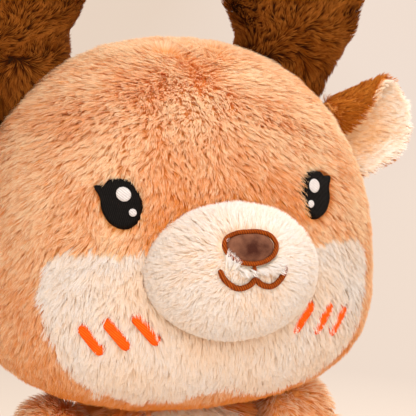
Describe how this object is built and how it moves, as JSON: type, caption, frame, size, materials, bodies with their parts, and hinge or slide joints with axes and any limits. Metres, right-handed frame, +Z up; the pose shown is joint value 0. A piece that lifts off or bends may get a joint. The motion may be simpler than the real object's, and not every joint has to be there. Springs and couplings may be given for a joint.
{
  "type": "plush deer",
  "caption": "Seated soft toy deer with a big round head, stuffed antlers, cupped ears, a padded muzzle, and sewn arms and legs that flex at their seams.",
  "frame": {"origin": "middle of the footprint, on the floor", "axes": "+Z up, the face towards -Y, the deer's left towards +X"},
  "size_m": [0.2744, 0.2398, 0.3858],
  "materials": {
    "brown_plush": "long soft pile, saturated roots and pale tips",
    "cream_plush": "long soft pile",
    "dark_plush": "short swirled pile",
    "stuffing": "loose polyester fibre",
    "pellet_cloth": "plain woven bag",
    "black_thread": "satin stitch",
    "white_thread": "satin stitch",
    "orange_thread": "satin stitch",
    "rust_thread": "satin stitch",
    "nose_suede": "short brushed suede"
  },
  "bodies": {
    "torso": {"torso_skin": "brown_plush", "belly_panel": "cream_plush", "pellet_bag": "pellet_cloth", "torso_stuffing": "stuffing", "tail": "brown_plush"},
    "head": {"head_front_panel": "brown_plush", "head_back_panel": "brown_plush", "face_panel": "cream_plush", "head_stuffing": "stuffing", "muzzle_skin": "cream_plush", "muzzle_stuffing": "stuffing", "nose_pad": "nose_suede", "nose_border": "rust_thread", "mouth_stitching": "rust_thread", "eye_left": "black_thread", "eye_glint_large_left": "white_thread", "eye_glint_small_left": "white_thread", "cheek_stroke_left_1": "orange_thread", "cheek_stroke_left_2": "orange_thread", "cheek_stroke_left_3": "orange_thread", "antler_left_skin": "dark_plush", "antler_left_stuffing": "stuffing", "eye_right": "black_thread", "eye_glint_large_right": "white_thread", "eye_glint_small_right": "white_thread", "cheek_stroke_right_1": "orange_thread", "cheek_stroke_right_2": "orange_thread", "cheek_stroke_right_3": "orange_thread", "antler_right_skin": "dark_plush", "antler_right_stuffing": "stuffing"},
    "ear_left": {"ear_left_back": "brown_plush", "ear_left_front": "cream_plush"},
    "ear_right": {"ear_right_back": "brown_plush", "ear_right_front": "cream_plush"},
    "arm_left": {"arm_left_skin": "brown_plush", "arm_left_hoof": "dark_plush", "arm_left_stuffing": "stuffing"},
    "arm_right": {"arm_right_skin": "brown_plush", "arm_right_hoof": "dark_plush", "arm_right_stuffing": "stuffing"},
    "leg_left": {"leg_left_skin": "brown_plush", "leg_left_hoof": "dark_plush", "leg_left_stuffing": "stuffing"},
    "leg_right": {"leg_right_skin": "brown_plush", "leg_right_hoof": "dark_plush", "leg_right_stuffing": "stuffing"}
  },
  "joints": [
    {"name": "head_turn", "type": "hinge", "parent": "torso", "child": "head", "pos_m": [0, 0.02656, 0.15], "axis": [0, 0, 1], "range_deg": [-20, 20], "stiffness_Nm_per_rad": 1.2},
    {"name": "ear_left_fold", "type": "hinge", "parent": "head", "child": "ear_left", "pos_m": [0.09604, 0.03856, 0.267], "axis": [-0.4078, 0, 0.9131], "range_deg": [-20, 10], "stiffness_Nm_per_rad": 0.08},
    {"name": "ear_right_fold", "type": "hinge", "parent": "head", "child": "ear_right", "pos_m": [-0.09604, 0.03856, 0.267], "axis": [0.4078, 0, 0.9131], "range_deg": [-10, 20], "stiffness_Nm_per_rad": 0.08},
    {"name": "arm_left_swing", "type": "hinge", "parent": "torso", "child": "arm_left", "pos_m": [0.06609, 0.01256, 0.11918], "axis": [-1, 0, 0], "range_deg": [-25, 30], "stiffness_Nm_per_rad": 0.5},
    {"name": "arm_right_swing", "type": "hinge", "parent": "torso", "child": "arm_right", "pos_m": [-0.06609, 0.01256, 0.11918], "axis": [-1, 0, 0], "range_deg": [-25, 30], "stiffness_Nm_per_rad": 0.5},
    {"name": "leg_left_lift", "type": "hinge", "parent": "torso", "child": "leg_left", "pos_m": [0.038, -0.03449, 0.028], "axis": [-1, 0, 0], "range_deg": [0, 25], "stiffness_Nm_per_rad": 0.8},
    {"name": "leg_right_lift", "type": "hinge", "parent": "torso", "child": "leg_right", "pos_m": [-0.038, -0.03449, 0.028], "axis": [-1, 0, 0], "range_deg": [0, 25], "stiffness_Nm_per_rad": 0.8}
  ]
}
